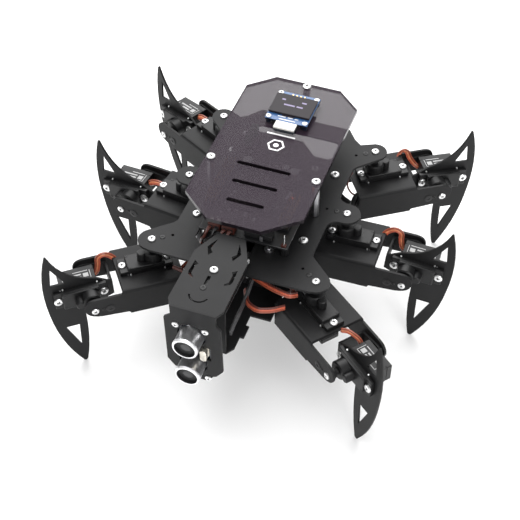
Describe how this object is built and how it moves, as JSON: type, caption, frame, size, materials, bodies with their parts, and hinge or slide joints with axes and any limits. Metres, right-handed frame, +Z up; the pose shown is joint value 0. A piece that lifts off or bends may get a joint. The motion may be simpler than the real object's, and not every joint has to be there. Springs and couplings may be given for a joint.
{
  "type": "hexapod spider robot",
  "caption": "Hexapod walking robot: folded sheet chassis, crescent legs on servo hinges, turning ultrasonic sensor head and a smoked cover with a display.",
  "frame": {"origin": "on the ground under the middle of the whole robot", "axes": "+Z up; the head looks along -Y; +X is the robot's side on the right of a viewer who faces +Y"},
  "size_m": [0.2402, 0.2382, 0.1263],
  "materials": {
    "powder_coat": "fine matte black powder coat",
    "plated_steel": "bright zinc-nickel plating",
    "sensor_can": "polished pressed can",
    "cell_sleeve": "shrink sleeve",
    "holder_plastic": "moulded matte",
    "circuit_board": "dark solder mask",
    "smoked_acrylic": "polished see-through sheet",
    "display_glass": "polished dark glass",
    "cable_jacket": "soft ribbon cable",
    "servo_plastic": "fine moulded black",
    "horn_plastic": "moulded satin black"
  },
  "bodies": {
    "chassis": {"top_plate": "powder_coat", "bottom_plate": "powder_coat", "standoff_front_left": "plated_steel", "standoff_front_right": "plated_steel", "standoff_rear_left": "plated_steel", "standoff_rear_right": "plated_steel", "battery_cell_left": "cell_sleeve", "battery_cell_right": "cell_sleeve", "battery_holder": "holder_plastic", "controller_board": "circuit_board", "cover": "smoked_acrylic", "cover_post_left": "plated_steel", "cover_post_right": "plated_steel", "cover_post_rear": "plated_steel", "oled_board": "circuit_board", "oled_screen": "display_glass", "sensor_cable": "cable_jacket", "pan_servo": "servo_plastic", "front_left_coxa_horn": "horn_plastic", "front_right_coxa_horn": "horn_plastic", "middle_left_coxa_horn": "horn_plastic", "middle_right_coxa_horn": "horn_plastic", "rear_left_coxa_horn": "horn_plastic", "rear_right_coxa_horn": "horn_plastic"},
    "head": {"pan_horn": "horn_plastic", "head_plate": "powder_coat", "sensor_board": "circuit_board", "transducer_upper": "sensor_can", "transducer_lower": "sensor_can", "sensor_crystal": "sensor_can"},
    "front_left_thigh_body": {"front_left_thigh": "powder_coat", "front_left_coxa_servo": "servo_plastic", "front_left_knee_horn": "horn_plastic"},
    "front_left_claw_body": {"front_left_claw": "powder_coat", "front_left_knee_servo": "servo_plastic"},
    "front_right_thigh_body": {"front_right_thigh": "powder_coat", "front_right_coxa_servo": "servo_plastic", "front_right_knee_horn": "horn_plastic"},
    "front_right_claw_body": {"front_right_claw": "powder_coat", "front_right_knee_servo": "servo_plastic"},
    "middle_left_thigh_body": {"middle_left_thigh": "powder_coat", "middle_left_coxa_servo": "servo_plastic", "middle_left_knee_horn": "horn_plastic"},
    "middle_left_claw_body": {"middle_left_claw": "powder_coat", "middle_left_knee_servo": "servo_plastic"},
    "middle_right_thigh_body": {"middle_right_thigh": "powder_coat", "middle_right_coxa_servo": "servo_plastic", "middle_right_knee_horn": "horn_plastic"},
    "middle_right_claw_body": {"middle_right_claw": "powder_coat", "middle_right_knee_servo": "servo_plastic"},
    "rear_left_thigh_body": {"rear_left_thigh": "powder_coat", "rear_left_coxa_servo": "servo_plastic", "rear_left_knee_horn": "horn_plastic"},
    "rear_left_claw_body": {"rear_left_claw": "powder_coat", "rear_left_knee_servo": "servo_plastic"},
    "rear_right_thigh_body": {"rear_right_thigh": "powder_coat", "rear_right_coxa_servo": "servo_plastic", "rear_right_knee_horn": "horn_plastic"},
    "rear_right_claw_body": {"rear_right_claw": "powder_coat", "rear_right_knee_servo": "servo_plastic"}
  },
  "joints": [
    {"name": "front_left_coxa", "type": "hinge", "parent": "chassis", "child": "front_left_thigh_body", "pos_m": [-0.0516, -0.04636, 0.09331], "axis": [0, 0, 1], "range_deg": [-30, 30]},
    {"name": "front_left_knee", "type": "hinge", "parent": "front_left_thigh_body", "child": "front_left_claw_body", "pos_m": [-0.08435, -0.07103, 0.06221], "axis": [-0.6018, 0.7986, 0], "range_deg": [-45, 60]},
    {"name": "front_right_coxa", "type": "hinge", "parent": "chassis", "child": "front_right_thigh_body", "pos_m": [0.0512, -0.04636, 0.09331], "axis": [0, 0, -1], "range_deg": [-30, 30]},
    {"name": "front_right_knee", "type": "hinge", "parent": "front_right_thigh_body", "child": "front_right_claw_body", "pos_m": [0.0835, -0.0716, 0.06221], "axis": [-0.6157, -0.788, 0], "range_deg": [-45, 60]},
    {"name": "middle_left_coxa", "type": "hinge", "parent": "chassis", "child": "middle_left_thigh_body", "pos_m": [-0.0516, 0.01384, 0.09331], "axis": [0, 0, 1], "range_deg": [-30, 30]},
    {"name": "middle_left_knee", "type": "hinge", "parent": "middle_left_thigh_body", "child": "middle_left_claw_body", "pos_m": [-0.0923, 0.01884, 0.06221], "axis": [0.1219, 0.9925, 0], "range_deg": [-45, 60]},
    {"name": "middle_right_coxa", "type": "hinge", "parent": "chassis", "child": "middle_right_thigh_body", "pos_m": [0.0512, 0.01384, 0.09331], "axis": [0, 0, -1], "range_deg": [-30, 30]},
    {"name": "middle_right_knee", "type": "hinge", "parent": "middle_right_thigh_body", "child": "middle_right_claw_body", "pos_m": [0.09218, 0.01491, 0.06221], "axis": [0.0262, -0.9997, 0], "range_deg": [-45, 60]},
    {"name": "rear_left_coxa", "type": "hinge", "parent": "chassis", "child": "rear_left_thigh_body", "pos_m": [-0.0516, 0.07404, 0.09331], "axis": [0, 0, 1], "range_deg": [-30, 30]},
    {"name": "rear_left_knee", "type": "hinge", "parent": "rear_left_thigh_body", "child": "rear_left_claw_body", "pos_m": [-0.08764, 0.09361, 0.06221], "axis": [0.4772, 0.8788, 0], "range_deg": [-45, 60]},
    {"name": "rear_right_coxa", "type": "hinge", "parent": "chassis", "child": "rear_right_thigh_body", "pos_m": [0.0512, 0.07404, 0.09331], "axis": [0, 0, -1], "range_deg": [-30, 30]},
    {"name": "rear_right_knee", "type": "hinge", "parent": "rear_right_thigh_body", "child": "rear_right_claw_body", "pos_m": [0.08499, 0.09727, 0.06221], "axis": [0.5664, -0.8241, 0], "range_deg": [-45, 60]},
    {"name": "head_pan", "type": "hinge", "parent": "chassis", "child": "head", "pos_m": [-0.0002, -0.07546, 0.10781], "axis": [0, 0, 1], "range_deg": [-60, 60]}
  ]
}
